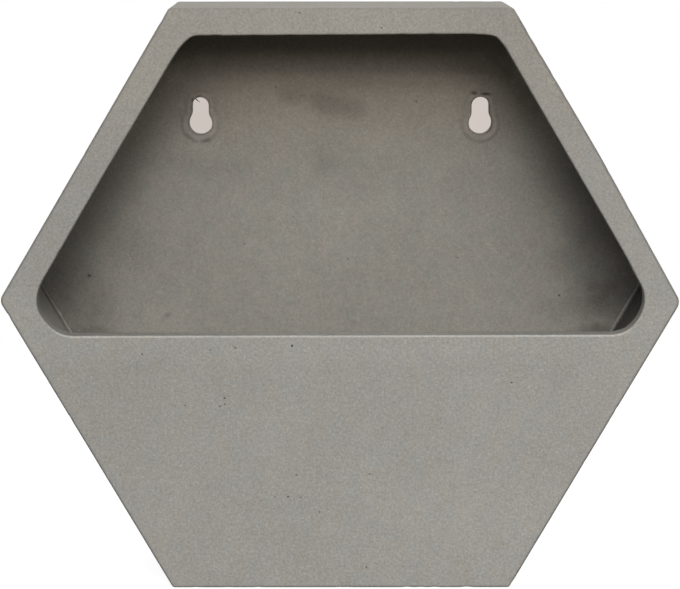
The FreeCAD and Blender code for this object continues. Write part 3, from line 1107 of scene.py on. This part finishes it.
FLOOR_SIZE = 16000.0
WHITE, DULL, GLOW = (1, 1, 1, 1), (0.20, 0.20, 0.20, 1), 0.93
floor_z = shell_low[2] - 0.02
floor_corners = [(-1, -1), (1, -1), (1, 1), (-1, 1)]
floor = flat_piece("floor", [(x * FLOOR_SIZE, y * FLOOR_SIZE, floor_z) for x, y in floor_corners])
floor_finish = Finish("pale studio floor")
rays = [f"Is {kind} Ray" for kind in ("Camera", "Glossy", "Transmission")]
in_camera, in_gloss, through_glass = [floor_finish.node("LightPath", output=ray) for ray in rays]
seen = in_camera + in_gloss + through_glass
away = floor_finish.length(floor_finish.place)
matt = floor_finish.node("BsdfDiffuse", sockets={"Color": DULL})
glow = floor_finish.node("Emission", sockets={"Color": WHITE, "Strength": GLOW * seen})
near = floor_finish.node("AddShader", sockets={0: matt, 1: glow})
far = floor_finish.node("Emission", sockets={"Color": WHITE, "Strength": seen})
reach = {0: away.ramp(0.35, 0.85), 1: near, 2: far}
floor_finish.show(floor_finish.node("MixShader", sockets=reach))
floor_finish.dress(floor)

patch_z = KEYHOLE_Z + 5
patch_corners = [(x * 95, 1.0, patch_z + z * 20) for x, z in floor_corners]
patch = flat_piece("wall_patch", patch_corners)
patch_finish = Finish("wall behind the keyholes")
in_camera = patch_finish.node("LightPath", output="Is Camera Ray")
facing = in_camera * (1 - patch_finish.node("NewGeometry", output="Backfacing"))
# The patch glows at the grey of a wall in shade, a little darker to the left: painted shade.
plaster = patch_finish.clouds(60, 1.0)
nearer_left = patch_finish.along("X").ramp(0.05, -0.05)
tone = patch_finish.scaled((0.640, 0.582, 0.534), (0.9 + 0.2 * plaster) * (1 - 0.06 * nearer_left))
wall_glow = patch_finish.node("Emission", sockets={"Color": tone, "Strength": 1.0})
clear = patch_finish.node("BsdfTransparent")
one_sided = {0: facing, 1: clear, 2: wall_glow}
patch_finish.show(patch_finish.node("MixShader", sockets=one_sided))
patch_finish.dress(patch)

# %% [markdown]
# The world is white to the camera and a weak grey to everything else, like a studio's far walls.

# %% World
AMBIENT = 0.22
world = bpy.data.worlds.new("studio")
bpy.context.scene.world = world
studio = Wiring(world)
in_camera = studio.node("LightPath", output="Is Camera Ray")
through_glass = studio.node("LightPath", output="Is Transmission Ray")
strength = in_camera.at_least(through_glass).at_least(AMBIENT)
sky = studio.node("Background", sockets={"Color": WHITE, "Strength": strength})
studio.node("OutputWorld", sockets={"Surface": sky})

# %% [markdown]
# ## Light
#
# The shading of the panel tells where the light was. It fades evenly from full light a hand's
# breadth below the rim to nearly nothing under it, which needs light from about 10 to 50 degrees
# up in front. One big lamp would do it, but then nothing could be balanced, so the window of light
# is made of soft boxes 3 m from the planter, each given in degrees: how far across and up it
# stands, and how wide and high it looks. The two key boxes do most. The right ones are stronger
# than the left ones, one overhead lights the top face, and two behind keep the back from going
# black.


# %% Soft boxes
LOOK_AT = Vector((0, FRONT * MM, 0.06))
REACH = 3.0


def softbox(name, across, up, wide, high, brightness):
    """A soft lamp in the direction given in degrees. White paper under full light is 1 bright."""
    across, up = math.radians(across), math.radians(up)
    lamp = bpy.data.lights.new(name, "AREA")
    lamp.shape = "RECTANGLE"
    lamp.size = 2 * REACH * math.tan(math.radians(wide) / 2) * math.cos(up)
    lamp.size_y = 2 * REACH * math.tan(math.radians(high) / 2)
    lamp.energy = brightness * math.pi * lamp.size * lamp.size_y
    away = Vector((math.cos(up) * math.sin(across), -math.cos(up) * math.cos(across), math.sin(up)))
    box = bpy.data.objects.new(name, lamp)
    box.location = LOOK_AT + REACH * away
    box.rotation_euler = (-away).to_track_quat("-Z", "Y").to_euler()
    box.visible_camera = False
    bpy.context.scene.collection.objects.link(box)
    print(name, round(lamp.energy), "W")


SOFTBOXES = [
    ("key", 0, 21, 18, 8, 23.0),
    ("key top", 0, 30, 18, 10, 12.5),
    ("low left", -18, 13, 18, 8, 3.4),
    ("low right", 18, 13, 18, 8, 7.0),
    ("upper left", -18, 42, 18, 14, 8.0),
    ("upper right", 18, 42, 18, 14, 12.0),
    ("overhead", 180, 70, 110, 27, 1.8),
    ("back", 172, 20, 40, 32, 1.6),
    ("side back", 130, 8, 30, 14, 5.0),
]
for name, *numbers in SOFTBOXES:
    softbox(name + " softbox", *numbers)

bpy.context.scene.view_settings.view_transform = "Standard"
